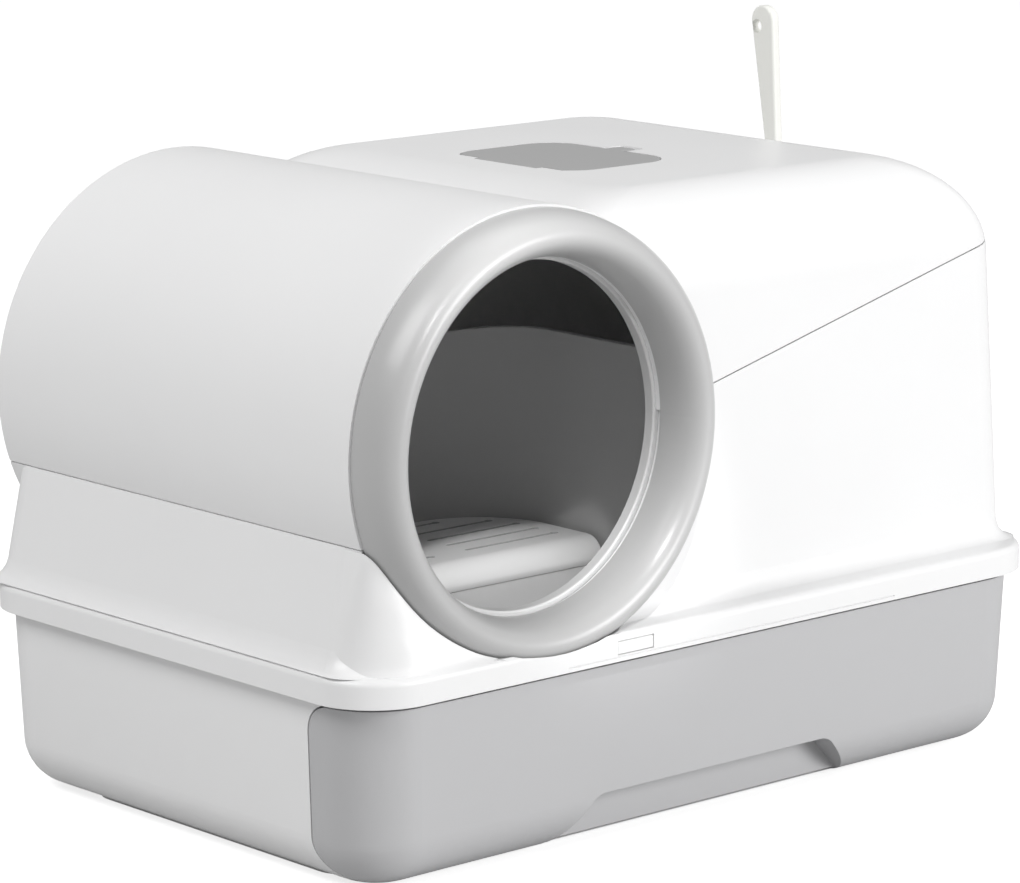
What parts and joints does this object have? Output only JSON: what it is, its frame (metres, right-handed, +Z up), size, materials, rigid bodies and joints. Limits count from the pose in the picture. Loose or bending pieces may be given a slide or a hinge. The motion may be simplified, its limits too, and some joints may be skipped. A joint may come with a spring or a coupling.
{
  "type": "drawer litter box",
  "caption": "Covered litter box with a round tunnel entry, a pull-out litter drawer, a slotted tread plate, a deodoriser hatch in the roof and a scoop held on the side.",
  "frame": {"origin": "middle of the plinth under the base, on the floor, below the middle of the rim", "axes": "+X to the right along the drawer front, -Y towards the viewer of the drawer front, +Z up"},
  "size_m": [0.5811, 0.37, 0.4445],
  "materials": {
    "white_plastic": "satin moulded white",
    "runner_plastic": "low-friction moulded strip",
    "pan_plastic": "fine-grained moulded light grey",
    "grey_plastic": "fine-grained moulded light grey",
    "screw_steel": "zinc-plated",
    "well_plastic": "moulded mid grey",
    "tread_plastic": "moulded light grey",
    "ring_plastic": "smooth moulded light grey",
    "sleeve_plastic": "moulded light grey",
    "lid_plastic": "moulded grey",
    "tray_plastic": "moulded grey",
    "charcoal_felt": "matted fibre",
    "pin_steel": "drawn wire",
    "scoop_plastic": "moulded off-white"
  },
  "bodies": {
    "base": {"base_tub": "white_plastic", "drawer_runners": "runner_plastic"},
    "drawer": {"drawer_pan": "pan_plastic", "drawer_front": "grey_plastic", "drawer_screws": "screw_steel"},
    "hood": {"lower_hood": "white_plastic", "entry_well": "well_plastic", "scoop_holder": "white_plastic", "holder_screws": "screw_steel"},
    "snap_tab": {"snap_tab": "white_plastic"},
    "tread_plate": {"tread_plate": "tread_plastic"},
    "cover": {"upper_cover": "white_plastic", "entry_ring": "ring_plastic", "entry_sleeve": "sleeve_plastic", "ring_screws": "screw_steel", "hatch_tray": "tray_plastic", "charcoal_pad": "charcoal_felt", "hatch_pin": "pin_steel"},
    "hatch_lid": {"hatch_lid": "lid_plastic"},
    "scoop": {"scoop": "scoop_plastic"}
  },
  "joints": [
    {"name": "drawer_slide", "type": "slide", "parent": "base", "child": "drawer", "axis": [0, -1, 0], "range_m": [0, 0.28]},
    {"name": "hood_lift", "type": "slide", "parent": "base", "child": "hood", "axis": [0, 0, 1], "range_m": [0, 0.2]},
    {"name": "snap_tab_hinge", "type": "hinge", "parent": "hood", "child": "snap_tab", "pos_m": [-0.07525, -0.1835, 0.123], "axis": [-1, 0, 0], "range_deg": [0, 15], "stiffness_Nm_per_rad": 0.02},
    {"name": "tread_lift", "type": "slide", "parent": "hood", "child": "tread_plate", "axis": [0, 0, 1], "range_m": [0, 0.1]},
    {"name": "cover_lift", "type": "slide", "parent": "hood", "child": "cover", "axis": [0, 0, 1], "range_m": [0, 0.25]},
    {"name": "hatch_hinge", "type": "hinge", "parent": "cover", "child": "hatch_lid", "pos_m": [0.0112, 0.023, 0.3688], "axis": [0, -1, 0], "range_deg": [0, 95]},
    {"name": "scoop_lift", "type": "slide", "parent": "hood", "child": "scoop", "axis": [0, 0, 1], "range_m": [0, 0.25]}
  ]
}
